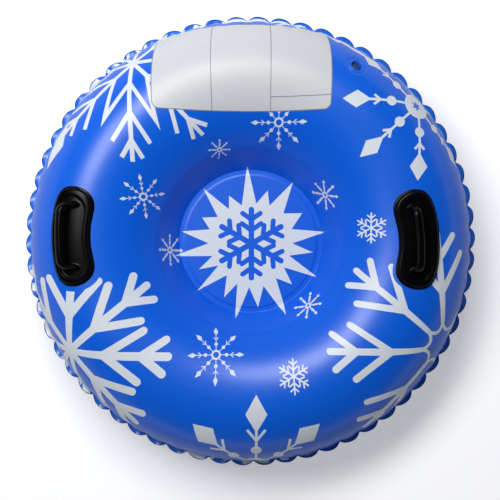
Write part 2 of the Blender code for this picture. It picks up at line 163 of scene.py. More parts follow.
RIM_RADIUS = 0.5000
RIM_WELD_WIDTH = 0.0128
SEAM_RADIUS = RIM_RADIUS - RIM_WELD_WIDTH
SEAT_RADIUS = 0.1590            # foot of the inner wall
CREASE_RADIUS = 0.2020          # fold between the inner wall and the crown
SEAM_TOP = 0.00075              # outer face of the upper sheet at its welds
SEAT_LIFT = 0.0012              # the seat's middle stands off its weld
SEAT_WELD = (0.1490, 0.1560)    # pressed band round the seat
SEAT_SLOPE = 0.0025             # over which the seat comes down to its weld
WALL_BEND = (0.56, 0.47)        # where the wall's curve is pulled to: shares of its run and rise
LOBES = 62                      # scallops of the rim
LOBE_START = math.radians(58.8)         # direction of one lobe's middle

turns = np.linspace(0, math.pi, 2001)
middle_radius = (SEAM_RADIUS + SEAT_RADIUS) / 2
half_width = (SEAM_RADIUS - SEAT_RADIUS) / 2
crown_radii = middle_radius - half_width * np.cos(turns)


def pressed_heights(crest_radius):
    """Heights of a sheet under pressure that is level at the radius given."""
    between = (turns[1:] + turns[:-1]) / 2
    radii = middle_radius - half_width * np.cos(between)
    slope_sine = (crest_radius ** 2 - radii ** 2) / (SEAM_RADIUS ** 2 - crest_radius ** 2)
    run = half_width * np.sin(between) * np.diff(turns)
    return np.concatenate([[0.0], np.cumsum(run * slope_sine / np.sqrt(1 - slope_sine ** 2))])


low, high = SEAT_RADIUS, math.sqrt((SEAM_RADIUS ** 2 + SEAT_RADIUS ** 2) / 2)
for halving in range(40):
    crest_radius = (low + high) / 2
    if pressed_heights(crest_radius)[-1] > 0:
        high = crest_radius
    else:
        low = crest_radius
crown_heights = SEAM_TOP + pressed_heights(low)

# The wall between foot and crease is a little steeper at its top, then comes the crown.
share = np.linspace(0, 1, 60)[:, None]
foot = np.array([SEAT_RADIUS, SEAM_TOP])
crease = np.array([CREASE_RADIUS, np.interp(CREASE_RADIUS, crown_radii, crown_heights)])
bend = foot + (crease - foot) * np.array(WALL_BEND)
wall = (1 - share) ** 2 * foot + 2 * share * (1 - share) * bend + share ** 2 * crease
crown = np.stack([crown_radii, crown_heights], axis=1)
section = np.concatenate([
    [(0.0, SEAM_TOP + SEAT_LIFT), (SEAT_WELD[0] - SEAT_SLOPE, SEAM_TOP + SEAT_LIFT),
     (SEAT_WELD[0], SEAM_TOP), (SEAT_WELD[1], SEAM_TOP)],
    wall, crown[crown_radii > CREASE_RADIUS + 0.0005]])
steps = np.hypot(*np.diff(section, axis=0).T)
section_length = np.concatenate([[0.0], np.cumsum(steps)])
SEAM_LENGTH = float(section_length[-1])
EDGE_LENGTH = SEAM_LENGTH + RIM_WELD_WIDTH
CREASE_LENGTH = float(np.interp(CREASE_RADIUS, section[:, 0], section_length))

even_length = np.linspace(0, SEAM_LENGTH, 4801)
even_section = np.stack([np.interp(even_length, section_length, section[:, axis])
                         for axis in (0, 1)], axis=1)
SOFTENING = 12                  # samples over which the section's corners are eased
ease = np.hanning(2 * SOFTENING + 1)
ease /= ease.sum()
eased = np.stack([np.convolve(np.pad(even_section[:, axis], SOFTENING, mode="reflect",
                                     reflect_type="odd"), ease, mode="valid")
                  for axis in (0, 1)], axis=1)
slope = np.gradient(eased, even_length, axis=0)
slope /= np.linalg.norm(slope, axis=1)[:, None]

PUCKER_START = 0.475            # flat radius where the rim's puckers fade out
PUCKER_DEPTH = 0.0014
PUCKER_SHARPNESS = 0.25         # double waves that widen the hollows between puckers
PUCKER_GROWTH = 2.2             # power by which the puckers deepen towards the seam
PUCKER_UNEVEN = ((0.30, 5, 1.0), (0.22, 13, 2.0))       # share, waves round the rim, phase
EDGE_POINTS = LOBES * 16        # points round the cut edge
EDGE_SCALLOP = 0.0105
EDGE_HOLLOW = 2.3               # power that makes the hollows between lobes sharp
EDGE_LIFT = 0.0030              # the cut edge waves up and down by this much
EDGE_TOP = SEAM_TOP / 3         # the weld is pressed thinner at its edge
EDGE_LINE = 0.0024              # the cut edge shows as a darker line


def on_ring(flat, side=1.0):
    """Where points of the flat sheet come to lie on the inflated ring.

    flat is an array of x and y in the sheet as it was printed, before inflation, and
    side is 1 for the upper sheet or -1 for the lower one.
    """
    length = np.hypot(flat[:, 0], flat[:, 1])
    angle = np.arctan2(flat[:, 1], flat[:, 0])
    inner = np.minimum(length, SEAM_LENGTH)
    radius, height = (np.interp(inner, even_length, eased[:, axis]) for axis in (0, 1))
    along = np.stack([np.interp(inner, even_length, slope[:, axis]) for axis in (0, 1)], axis=1)
    phase = LOBES * (angle - LOBE_START)
    uneven = np.ones_like(angle)
    for share, waves, shift in PUCKER_UNEVEN:
        uneven += share * np.sin(waves * angle + shift)
    rise = np.clip((length - PUCKER_START) / (SEAM_LENGTH - PUCKER_START), 0, 1)
    wave = np.cos(phase) - PUCKER_SHARPNESS * np.cos(2 * phase)
    pucker = PUCKER_DEPTH * uneven * rise ** PUCKER_GROWTH * wave
    radius = radius - along[:, 1] * pucker
    height = height + along[:, 0] * pucker
    out = np.clip((length - SEAM_LENGTH) / RIM_WELD_WIDTH, 0, 1)
    from_lobe = np.abs((phase + math.pi) % math.tau - math.pi) / math.pi
    edge_radius = RIM_RADIUS - EDGE_SCALLOP * from_lobe ** EDGE_HOLLOW
    edge_height = EDGE_TOP + side * EDGE_LIFT * np.sin(phase)
    radius = radius + (edge_radius - radius) * out
    height = height + (edge_height - height) * out
    up = SEAM_HEIGHT + side * height
    return np.stack([radius * np.cos(angle), radius * np.sin(angle), np.maximum(up, 0)], axis=1)


# Printed sheet. The upper of the two PVC discs, 0.6 mm thick, printed with white ink
# before it was welded. The print's outlines are cut into its mesh while it is flat,
# and the whole sheet is then blown up to the ring's shape.

print_shapes = []               # ink and outline, later ones printed over earlier ones


def lay_print(ink, points):
    """Add an outline in the flat sheet's metres. The ink "sheet" leaves bare sheet."""
    print_shapes.append((ink, [tuple(point) for point in points]))


def around(middle, angle, distance):
    """A point at an angle in degrees and a distance from a middle."""
    turn = math.radians(angle)
    return (middle[0] + distance * math.cos(turn), middle[1] + distance * math.sin(turn))


def bar(ink, start, end, width, end_width=None, rounded=False):
    """A straight stroke, with square or rounded ends."""
    start, end = Vector(start), Vector(end)
    along = (end - start).normalized()
    side = Vector((-along.y, along.x))
    first, last = width / 2, (end_width or width) / 2
    if not rounded:
        points = [start + side * first, start - side * first, end - side * last, end + side * last]
    else:
        heading = math.atan2(along.y, along.x)
        turns = np.linspace(math.pi / 2, 1.5 * math.pi, 7)
        points = [start + first * Vector((math.cos(heading + t), math.sin(heading + t))) for t in turns]
        points += [end - last * Vector((math.cos(heading + t), math.sin(heading + t))) for t in turns]
    lay_print(ink, points)


def disc(ink, middle, radius, count=20):
    """A dot, as a polygon of count sides."""
    lay_print(ink, [around(middle, 360 * step / count, radius) for step in range(count)])


def diamond(ink, near, far, half_width, widest=0.5):
    """A diamond between two tips, widest at a share of the way between them."""
    near, far = Vector(near), Vector(far)
    along = far - near
    side = Vector((-along.y, along.x)).normalized() * half_width
    lay_print(ink, [near, near + along * widest - side, far, near + along * widest + side])


def chevron(ink, point, angle, length, width, spread=38):
    """A V with its point towards the flake's middle."""
    for turn in (-spread, spread):
        bar(ink, point, around(point, angle + turn, length), width)


def beaded_flake(middle, arm, first_angle, hub, hole):
    """A flake of eight thin arms, each with a ball, an arrow head and a diamond.

    The arms' details are shares of the arm's length here and in the next two flakes.
    """
    for turn in range(8):
        angle = first_angle + 45 * turn
        bar("ink", around(middle, angle, hub * 0.8), around(middle, angle, arm * 0.86), arm * 0.026)
        disc("ink", around(middle, angle, arm * 0.37), arm * 0.064, 12)
        chevron("ink", around(middle, angle, arm * 0.52), angle, arm * 0.13, arm * 0.030, 42)
        diamond("ink", around(middle, angle, arm * 0.68), around(middle, angle, arm),
                arm * 0.082, 0.45)
    disc("ink", middle, hub, 28)
    disc("sheet", middle, hole, 24)


def dotted_flake(middle, arm, first_angle, hub, hole):
    """A small flake of eight dotted arms with pointed tips."""
    for turn in range(8):
        angle = first_angle + 45 * turn
        bar("ink", around(middle, angle, hub * 0.8), around(middle, angle, arm * 0.9), arm * 0.060)
        for place, size in ((0.37, 0.075), (0.50, 0.085), (0.64, 0.078)):
            disc("ink", around(middle, angle, arm * place), arm * size, 10)
        diamond("ink", around(middle, angle, arm * 0.73), around(middle, angle, arm),
                arm * 0.115, 0.42)
    disc("ink", middle, hub, 20)
    disc("sheet", middle, hole, 16)


def feathered_flake(middle, arm, first_angle):
    """A dense flake of six arms with two pairs of feathers each."""
    for turn in range(6):
        angle = first_angle + 60 * turn
        bar("ink", middle, around(middle, angle, arm), arm * 0.105, rounded=True)
        for place, length in ((0.36, 0.36), (0.66, 0.30)):
            root = around(middle, angle, arm * place)
            for lean in (-52, 52):
                bar("ink", root, around(root, angle + lean, arm * length), arm * 0.095, rounded=True)


def gem_flake(middle, scale, first_angle, gem, vee):
    """A big flake: star-holed hub, and arms with a ball, an arrow and a long diamond.

    gem is where the diamond starts and ends along its arm, and half its width, and vee
    is the arrow's length.
    """
    for turn in range(8):
        angle = first_angle + 45 * turn
        bar("ink", around(middle, angle, 0.030 * scale), around(middle, angle, 0.130 * scale),
            0.0060 * scale)
        disc("ink", around(middle, angle, 0.0720 * scale), 0.0125 * scale, 18)
        chevron("ink", around(middle, angle, 0.1000 * scale), angle, vee, 0.0060 * scale)
        diamond("ink", around(middle, angle, gem[0]), around(middle, angle, gem[1]), gem[2])
    disc("ink", middle, 0.0360 * scale, 32)
    star = [around(middle, first_angle + 30 * step, (0.0165 if step % 2 else 0.0075) * scale)
            for step in range(12)]
    lay_print("sheet", star)


def branched_flake(middle, first_angle, tip, prong, branch, root, fork, widths, cells, cut_arm,
                   aside=()):
    """A big flake of thick rounded strokes: each arm has a V of branches and a fork.

    root and fork are where branches and fork leave the arm, which ends at tip. branch
    and prong are how far their tips lie from the middle, and at what angle off the arm.
    cells is how far from the middle the arms start, joined by arcs. The arm numbered
    cut_arm has no fork, because a handle stands there. aside gives the arms that lie
    a few degrees off the even spacing.
    """
    thin, thick, arc_width = widths
    angles = [first_angle + 45 * turn + dict(aside).get(turn % 8, 0) for turn in range(9)]
    for turn, angle in enumerate(angles[:8]):
        root_point, fork_point = around(middle, angle, root), around(middle, angle, fork)
        bar("ink", around(middle, angle, cells), root_point, thin, thick, rounded=True)
        bar("ink", root_point, fork_point, thick, rounded=True)
        spread = [(root_point, branch)]
        if turn != cut_arm:
            bar("ink", fork_point, around(middle, angle, tip), thick, rounded=True)
            spread.append((fork_point, prong))
        for start, (reach, lean) in spread:
            for side in (-1, 1):
                bar("ink", start, around(middle, angle + side * lean, reach), thick, rounded=True)
        if cells:
            next_angle = angles[turn + 1]
            ends = [Vector(around(middle, heading, cells)) for heading in (angle, next_angle)]
            pull = [Vector(around(middle, heading, cells * 0.58))
                    for heading in (angle + 6, next_angle - 6)]
            arc = geometry.interpolate_bezier(*[point.to_3d() for point in
                                                (ends[0], pull[0], pull[1], ends[1])], 11)
            for one, two in zip(arc, arc[1:]):
                bar("ink", one.to_2d(), two.to_2d(), arc_width, rounded=True)


def star_outline(ink, middle, first_angle, tip, root):
    """An eight-pointed star with its hollows on the arms of its flake."""
    lay_print(ink, [around(middle, first_angle + 22.5 * step, tip if step % 2 else root)
                    for step in range(16)])


def star_flake(middle, first_angle):
    """A big flake of square strokes: an outlined eight-pointed star and forked arms."""
    stroke = 0.0105
    star_outline("ink", middle, first_angle, 0.179, 0.066)
    star_outline("sheet", middle, first_angle, 0.132, 0.050)
    for turn in range(8):
        angle = first_angle + 45 * turn
        bar("ink", middle, around(middle, angle, 0.243), stroke)
        for root, length, lean in ((0.128, 0.202, 12.4), (0.192, 0.235, 5.9)):
            for side in (-1, 1):
                bar("ink", around(middle, angle, root), around(middle, angle + side * lean, length),
                    stroke)


star_flake((-0.291, 0.438), -90)

# Two more flakes lie mostly beyond the rim: a diamond of one shows at the left, and
# the arms of the other run along the rim and go down behind the panel.
diamond("ink", (-0.4585, 0.3050), (-0.5110, 0.1800), 0.0270)
RIM_FLAKE = (0.1230, 0.6000)
RIM_ARMS = ((180, 0.190, 0.026), (225, 0.080, 0.012), (270, 0.080, 0.012), (-38, 0.205, 0.016))
RIM_BRANCH_ROOT, RIM_BRANCH_TIP = 0.090, (0.2238, 0.5078)
for angle, length, width in RIM_ARMS:
    bar("ink", RIM_FLAKE, around(RIM_FLAKE, angle, length), width, rounded=True)
bar("ink", around(RIM_FLAKE, RIM_ARMS[-1][0], RIM_BRANCH_ROOT), RIM_BRANCH_TIP, 0.0110,
    rounded=True)

gem_flake((0.412, 0.334), scale=1.00, first_angle=-3, gem=(0.122, 0.190, 0.0205), vee=0.019)
gem_flake((0.014, -0.5925), scale=1.10, first_angle=90, gem=(0.131, 0.216, 0.0265), vee=0.036)
branched_flake((-0.443, -0.269), first_angle=-4.2, tip=0.240, prong=(0.234, 9.6),
               branch=(0.184, 18.6), root=0.088, fork=0.176, widths=(0.0155, 0.0195, 0),
               cells=0, cut_arm=2)
branched_flake((0.4765, -0.2605), first_angle=183.6, tip=0.280, prong=(0.274, 8.6),
               branch=(0.234, 15.4), root=0.138, fork=0.218, widths=(0.0125, 0.0160, 0.0085),
               cells=0.0645, cut_arm=None, aside={0: -0.6, 6: 2.6})

# The small flakes. Each has its middle, arm and first angle, and most a hub and its hole.
beaded_flake((0.071, 0.297), 0.071, -90, 0.0120, 0.0072)
beaded_flake((-0.0866, -0.2868), 0.071, -90, 0.0120, 0.0072)
beaded_flake((-0.2698, 0.1109), 0.0565, 8, 0.0105, 0.0058)
dotted_flake((-0.0777, 0.2277), 0.0290, 0, 0.0066, 0.0028)
dotted_flake((0.1808, 0.1119), 0.0400, -2, 0.0088, 0.0034)
dotted_flake((-0.1892, -0.0214), 0.0390, 0, 0.0088, 0.0034)
dotted_flake((0.1397, -0.1563), 0.0390, 0, 0.0088, 0.0034)
feathered_flake((0.3028, 0.0319), 0.0375, 90)
feathered_flake((0.1068, -0.3350), 0.0390, 92)

# A plain starburst lies over the seat, with a broad blue flake in its middle. Its points
# are uneven, each with its angle and its reach.
BURST_MIDDLE = (0.002, -0.006)
BURST_HOLLOW, HOLLOW_UNEVEN = 0.093, 0.005
BURST_FLAKE_ARM, BURST_FLAKE_STROKE = 0.076, 0.0125
BURST_FLAKE_VEES = ((0.030, 0.026), (0.054, 0.024))     # where each V starts, and its length
burst_tips = ((93, 0.176), (115, 0.118), (131, 0.163), (152, 0.124), (170, 0.158), (189, 0.178),
              (206, 0.130), (221, 0.160), (243, 0.134), (258, 0.178), (276, 0.142), (296, 0.187),
              (315, 0.128), (333, 0.166), (352, 0.138), (9, 0.168), (31, 0.132), (56, 0.166),
              (73, 0.124))
burst = []
for (angle, reach), following in zip(burst_tips, burst_tips[1:] + burst_tips[:1]):
    gap = (following[0] - angle) % 360
    burst.append(around(BURST_MIDDLE, angle, reach))
    hollow = BURST_HOLLOW + HOLLOW_UNEVEN * math.sin(math.radians(3 * angle))
    burst.append(around(BURST_MIDDLE, angle + gap / 2, hollow))
lay_print("ink", burst)
for turn in range(6):
    angle = 90 + 60 * turn
    bar("sheet", BURST_MIDDLE, around(BURST_MIDDLE, angle, BURST_FLAKE_ARM), BURST_FLAKE_STROKE,
        rounded=True)
    for place, length in BURST_FLAKE_VEES:
        root = around(BURST_MIDDLE, angle, place)
        for lean in (-55, 55):
            bar("sheet", root, around(root, angle + lean, length), 0.0110, rounded=True)

# The print is left out round both handles, so that their welds lie on bare sheet.
HANDLE_LENGTH, HANDLE_WIDTH = 0.2180, 0.0925
LEFT_PLACE = (0.1028, 178.5, 1.8)       # inset from the seam, azimuth and twist
RIGHT_PLACE = (0.1278, 0.4, 2.0)
LEFT_MARGIN, RIGHT_MARGIN = 0.0115, 0.0035
RIGHT_MARGIN_SHIFT = -0.0025            # the right one's bare patch sits off its middle

# A kidney as shares of its width and length: each spot of the outline, its heading
# there, and how far the curve is pulled before it and after it.
KIDNEY_SPOTS = (((0.5, 0.0), (0, 1), 0.37, 0.37), ((0.13, 0.5), (-1, 0), 0.355, 0.285),
                ((-0.5, 0.265), (0, -1), 0.137, 0.112), ((-0.465, 0.0), (0, -1), 0.147, 0.147),
                ((-0.5, -0.265), (0, -1), 0.112, 0.137), ((0.13, -0.5), (1, 0), 0.285, 0.355))


def kidney(width, length, shift):
    """A kidney's outline: bulging towards the rim, waisted towards the seat."""
    size = Vector((width, length))
    outline = []
    for here, there in zip(KIDNEY_SPOTS, KIDNEY_SPOTS[1:] + KIDNEY_SPOTS[:1]):
        start, end = Vector(here[0]) * size, Vector(there[0]) * size
        outline += geometry.interpolate_bezier(
            start.to_3d(), (start + Vector(here[1]) * here[3] * size).to_3d(),
            (end - Vector(there[1]) * there[2] * size).to_3d(), end.to_3d(), 16)[:-1]
    return [(point.x + shift, point.y) for point in outline]


def round_crown(along, across, place):
    """Length and angle on the flat sheet of places measured from a handle's middle."""
    inset, azimuth, twist = place
    turn = math.radians(twist)
    out = along * math.cos(turn) - across * math.sin(turn)
    sideways = along * math.sin(turn) + across * math.cos(turn)
    length = float(np.interp(SEAM_RADIUS - inset, eased[:, 0], even_length)) + out
    return length, math.radians(azimuth) + sideways / np.interp(length, even_length, eased[:, 0])


for place, margin, shift in ((LEFT_PLACE, LEFT_MARGIN, 0.0),
                             (RIGHT_PLACE, RIGHT_MARGIN, RIGHT_MARGIN_SHIFT)):
    border = np.array(kidney(HANDLE_WIDTH + 2 * margin, HANDLE_LENGTH + 2 * margin, shift))
    length, angle = round_crown(border[:, 0], border[:, 1], place)
    lay_print("sheet", zip(length * np.cos(angle), length * np.sin(angle)))

# White information panel, left blank, with its thin frame and dividers.
PANEL_LEFT, PANEL_RIGHT, PANEL_LOW, PANEL_HIGH = -0.2400, 0.1970, 0.3215, 0.5460
PANEL_ROUND = 0.0160
PANEL_LINE = 0.0022
PANEL_DIVIDERS = (-0.0960, 0.0495)
PANEL_SHELF = 0.3540            # line across the panel's last column


def rounded_panel(inset):
    """The panel's outline, set in from its frame's outer edge."""
    points = []
    corner = PANEL_ROUND - inset
    for x, y, start in ((PANEL_RIGHT, PANEL_LOW, 270), (PANEL_RIGHT, PANEL_HIGH, 0),
                        (PANEL_LEFT, PANEL_HIGH, 90), (PANEL_LEFT, PANEL_LOW, 180)):
        middle = (x + PANEL_ROUND * (1 if x == PANEL_LEFT else -1),
                  y + PANEL_ROUND * (1 if y == PANEL_LOW else -1))
        points += [around(middle, start + turn, corner) for turn in np.linspace(0, 90, 7)]
    return points


lay_print("line", rounded_panel(0.0))
lay_print("panel", rounded_panel(PANEL_LINE))
for x in PANEL_DIVIDERS:
    bar("line", (x, PANEL_LOW + PANEL_LINE), (x, PANEL_HIGH - PANEL_LINE), PANEL_LINE * 0.8)
bar("line", (PANEL_DIVIDERS[1], PANEL_SHELF), (PANEL_RIGHT - PANEL_LINE, PANEL_SHELF),
    PANEL_LINE * 0.8)

# The mesh: rings of points over the flat sheet, finer where it is pressed or puckered.
# They cover the seat, its weld, the wall, the crease, the crown, the puckers and the weld.
VALVE_RADIUS, VALVE_POCKET = 0.4423, 0.0122
VALVE_ANGLE = LOBE_START        # the valve sits straight inside that lobe
VALVE_FLAT = float(np.interp(VALVE_RADIUS, eased[:, 0], even_length))

rings = [(radius, max(12, int(radius * 700))) for radius in np.arange(0.008, 0.142, 0.009)]
rings += [(radius, 248) for radius in np.arange(0.1435, 0.1640, 0.0011)]
rings += [(radius, 248) for radius in np.arange(0.1665, CREASE_LENGTH - 0.0060, 0.0030)]
rings += [(radius, 310) for radius in CREASE_LENGTH + np.arange(-0.0050, 0.0051, 0.0010)]
rings += [(radius, 310) for radius in np.arange(CREASE_LENGTH + 0.0080, 0.4500, 0.0072)]
rings += [(radius, LOBES * 8) for radius in np.linspace(0.4560, SEAM_LENGTH - 0.0030, 27)]
flange_lengths = [*np.linspace(SEAM_LENGTH, EDGE_LENGTH - EDGE_LINE, 6), EDGE_LENGTH]
rings += [(radius, EDGE_POINTS) for radius in flange_lengths]
points = [(0.0, 0.0)]
for radius, count in rings:
    turn = LOBE_START + math.tau * np.arange(count) / count
    points += list(zip(radius * np.cos(turn), radius * np.sin(turn)))
sheet_edge = list(range(len(points) - EDGE_POINTS, len(points)))

# The hole for the valve, and rings of points round it for its pressed weld.
valve_spread = VALVE_FLAT / VALVE_RADIUS


def around_valve(radius, count):
    """Points of the flat sheet that lie in a circle round the valve once it is inflated."""
    spots = []
    for turn in np.linspace(0, math.tau, count, endpoint=False):
        out, sideways = radius * math.cos(turn), radius * math.sin(turn) * valve_spread
        spots.append(Matrix.Rotation(VALVE_ANGLE, 2) @ Vector((VALVE_FLAT + out, sideways)))
    return spots


for radius in np.arange(VALVE_POCKET + 0.0006, 0.0235, 0.0007):
    points += [tuple(spot) for spot in around_valve(radius, 64)]
hole_start = len(points)
points += [tuple(spot) for spot in around_valve(VALVE_POCKET, 48)]

PRINT_STEP = 0.005              # longer edges of the print would cut straight across the bend
faces = [sheet_edge, list(range(hole_start, len(points)))]
inks = ["cloth", "hole"]
for ink, outline in print_shapes:
    start = len(points)
    for one, two in zip(outline, outline[1:] + outline[:1]):
        steps = math.ceil(math.dist(one, two) / PRINT_STEP)
        points += [tuple(spot) for spot in np.linspace(one, two, steps, endpoint=False)]
    faces.append(list(range(start, len(points))))
    inks.append(ink)

cut_points, _, cut_faces, _, _, from_faces = geometry.delaunay_2d_cdt(
    [Vector(point) for point in points], [], faces, 0, 1e-6)
cut_points = np.array([tuple(point) for point in cut_points])

PRESSED_RINGS = ((0.0150, 0.0010), (0.0215, 0.0012))    # the valve's welds: radius and width
WELD_PRESS = 0.0014
CREASE_PRESS, CREASE_WIDTH = 0.0012, 0.0026             # fold at the top of the seat's wall


def printed_surface(flat):
    """The inflated upper sheet, with its crease and the valve's pressed weld rings."""
    places = on_ring(flat)
    length = np.hypot(*flat.T)
    aside = (np.arctan2(flat[:, 1], flat[:, 0]) - VALVE_ANGLE) * VALVE_RADIUS
    distance = np.hypot(length - VALVE_FLAT, aside)
    press = CREASE_PRESS * np.exp(-((length - CREASE_LENGTH) / CREASE_WIDTH) ** 2)
    for radius, width in PRESSED_RINGS:
        press += WELD_PRESS * np.exp(-((distance - radius) / width) ** 2)
    places[:, 2] -= press
    return places


PRINT_REACH, PRINT_SHIFT = 0.612, -0.012        # the print ends short of the weld on the right
SEAM_REFLECTION_WIDTH = 0.0024                             # width of the near-white band just outside the seam, a painted reflection of the white floor

inside = []
slots = []
slot_of = {"cloth": 0, "sheet": 0, "ink": 1, "panel": 2, "line": 3}
WELD_SLOT, EDGE_SLOT, SEAM_REFLECTION_SLOT = 4, 5, 6
for corners, sources in zip(cut_faces, from_faces):
    if 0 not in sources or 1 in sources:
        continue
    slot = slot_of[inks[max(sources)]]
    x, y = cut_points[list(corners)].mean(axis=0)
    length = math.hypot(x, y)
    if math.hypot(x - PRINT_SHIFT, y) > PRINT_REACH:
        slot = 0
    if length > EDGE_LENGTH - EDGE_LINE:
        slot = EDGE_SLOT
    # Just outside the seam the sheet gets a near-white band, a painted reflection of the white floor.
    elif SEAM_LENGTH < length < SEAM_LENGTH + SEAM_REFLECTION_WIDTH:
        slot = SEAM_REFLECTION_SLOT
    elif length > SEAM_LENGTH and slot == 0:
        slot = WELD_SLOT
    inside.append(tuple(corners))
    slots.append(slot)

top_mesh = bpy.data.meshes.new("printed_sheet")
top_mesh.from_pydata([tuple(place) for place in printed_surface(cut_points)], [], inside)
# The flat layout is kept as the sheet's own texture map.
flat_map = top_mesh.uv_layers.new(name="flat_sheet")
corner_points = np.empty(len(top_mesh.loops), dtype=np.int32)
top_mesh.loops.foreach_get("vertex_index", corner_points)
flat_map.data.foreach_set("uv", cut_points[corner_points].ravel())
top_mesh.polygons.foreach_set("material_index", slots)
top_mesh.shade_smooth()


def printed_normals(flat):
    """The inflated sheet's own normals, so that cuts of the print leave no mark in its sheen."""
    reach = 0.0004
    across = printed_surface(flat + (reach, 0)) - printed_surface(flat - (reach, 0))
    upward = printed_surface(flat + (0, reach)) - printed_surface(flat - (0, reach))
    normals = np.cross(across, upward)
    return normals / np.linalg.norm(normals, axis=1)[:, None]


top_mesh.normals_split_custom_set_from_vertices(
    [tuple(normal) for normal in printed_normals(cut_points)])
printed_sheet = add_object("printed_sheet", top_mesh)


VINYL_IOR = 1.53


def vinyl(name, colour, roughness, grain=0.00006, more=()):
    """Calendered PVC film: smooth, with a broad soft sheen and a faint grain.

    more gives other inputs of the shader.
    """
    material, tree, shader = new_material(name)
    shader.inputs["Base Color"].default_value = srgb(colour)
    shader.inputs["Roughness"].default_value = roughness
    shader.inputs["IOR"].default_value = VINYL_IOR
    for field, value in dict(more).items():
        shader.inputs[field].default_value = value
    place = add_node(tree, "ShaderNodeTexCoord")
    slack = add_node(tree, "ShaderNodeTexNoise", inputs={"Scale": 9.0, "Detail": 2.0},
                     links={"Vector": place.outputs["Object"]})
    bump = add_node(tree, "ShaderNodeBump", inputs={"Strength": 0.25, "Distance": 0.002},
                    links={"Height": slack.outputs["Fac"]})
    fine = add_node(tree, "ShaderNodeTexNoise", inputs={"Scale": 420.0, "Detail": 1.0},
                    links={"Vector": place.outputs["Object"]})
    grain_bump = add_node(tree, "ShaderNodeBump", inputs={"Strength": 0.5, "Distance": grain},
                          links={"Height": fine.outputs["Fac"], "Normal": bump.outputs["Normal"]})
    tree.links.new(grain_bump.outputs["Normal"], shader.inputs["Normal"])
    return material


# Gloss blue film, three inks on it, the clear blue of the pressed weld, its dark cut edge,
# and a thin near-white band at the seam that is a painted reflection of the white floor.
for material in (vinyl("blue_vinyl", "#0166ec", 0.32), vinyl("white_ink", "#e8f0fa", 0.40),
                 vinyl("panel_ink", "#d9dbe0", 0.40), vinyl("grey_line_ink", "#7d848c", 0.40),
                 vinyl("weld_vinyl", "#1f78ee", 0.26), vinyl("cut_edge_vinyl", "#082c80", 0.30),
                 vinyl("painted_seam_reflection", "#dde6f6", 0.34)):
    top_mesh.materials.append(material)
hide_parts("top_sheet")
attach(printed_sheet, "tube")


# Running sheet. The lower disc of blue PVC, 0.9 mm thick and unprinted, duller than the
# upper one so that it wears well. It is welded to the upper one at the rim and the seat,
# and is made as a flat disc by a full spin, then blown up like the other.

bm = bmesh.new()
lengths = [0.0] + [radius for radius in np.arange(0.02, 0.14, 0.02)]
lengths += list(np.arange(0.1435, 0.1640, 0.0025)) + list(np.arange(0.1700, 0.4500, 0.0090))
lengths += list(np.linspace(0.4560, SEAM_LENGTH - 0.0030, 19)) + flange_lengths
line = [bm.verts.new((length, 0, 0)) for length in lengths]
edges = [bm.edges.new(pair) for pair in zip(line, line[1:])]
bmesh.ops.rotate(bm, verts=line, matrix=Matrix.Rotation(LOBE_START, 3, "Z"))
bmesh.ops.spin(bm, geom=line + edges, axis=(0, 0, 1), angle=math.tau, steps=EDGE_POINTS,
               use_merge=True)
bmesh.ops.remove_doubles(bm, verts=bm.verts, dist=0.00002)
bmesh.ops.recalc_face_normals(bm, faces=bm.faces)
bm.verts.ensure_lookup_table()
for face in bm.faces:
    length = math.hypot(*face.calc_center_median().xy)
    face.smooth = True
    face.material_index = int(length > SEAM_LENGTH) + int(length > EDGE_LENGTH - EDGE_LINE)
flat = np.array([tuple(vert.co.xy) for vert in bm.verts])
for vert, place in zip(bm.verts, on_ring(flat, -1.0)):
    vert.co = place
bm.faces.ensure_lookup_table()
lowest = min(bm.faces, key=lambda face: face.calc_center_median().z)
lowest.normal_update()
if lowest.normal.z > 0:
    bmesh.ops.reverse_faces(bm, faces=bm.faces)
running_sheet = mesh_object(bm, "running_sheet")
running_sheet.data.materials.append(vinyl("running_vinyl", "#0a4fc4", 0.42))
for name in ("weld_vinyl", "cut_edge_vinyl"):
    running_sheet.data.materials.append(bpy.data.materials[name])
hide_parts("bottom_sheet")
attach(running_sheet, "tube")


# Handles. Each is one black PVC moulding: a kidney-shaped skirt welded to the crown,
# a raised pad with a finger well, and a staple-shaped grip that flops either way.

HANDLE_SKIRT, SKIRT_ROUND = 0.0025, 0.0009
PAD_INSET, PAD_HEIGHT, PAD_ROUND = 0.0055, 0.0100, 0.0045
WELL_LENGTH, WELL_WIDTH, WELL_SHIFT, WELL_FLOOR = 0.1800, 0.0610, 0.0005, 0.0040
WELL_ROUND = 0.0030
GRIP_SPAN, GRIP_REACH, GRIP_BEND = 0.1340, 0.0400, 0.0170
GRIP_WIDTH, GRIP_THICKNESS, GRIP_FOOT_SHIFT, GRIP_BOW = 0.0140, 0.0090, -0.0045, 0.0015
FOOT_FLARE = 0.55               # how much thicker the grip's legs are at their feet
FOOT_HEIGHT = PAD_HEIGHT * 1.6
HANDLE_GAP = 0.0003
MELT = 0.0010                   # voxel size that joins pad, skirt and grip into one moulding
SMOOTHING_SWEEPS = 5
LEFT_LEAN, RIGHT_LEAN = 29.0, 5.0       # degrees from upright towards the rim


def kidney_prism(width, length, shift, base, top):
    """A closed kidney-shaped block."""
    bm = bmesh.new()
    face = bm.faces.new([bm.verts.new((x, y, base)) for x, y in kidney(width, length, shift)])
    raised = bmesh.ops.extrude_face_region(bm, geom=[face])["geom"]
    bmesh.ops.translate(bm, verts=[item for item in raised if isinstance(item, bmesh.types.BMVert)],
                        vec=(0, 0, top - base))
    bmesh.ops.recalc_face_normals(bm, faces=bm.faces)
    return bm


def round_face(bm, highest, radius, segments):
    """Round the outline of the block's top or bottom face."""
    pick = max if highest else min
    face = pick(bm.faces, key=lambda face: face.calc_center_median().z)
    bmesh.ops.bevel(bm, geom=list(face.edges), offset=radius, offset_type="OFFSET",
                    segments=segments, profile=0.5, affect="EDGES", material=-1,
                    clamp_overlap=True)


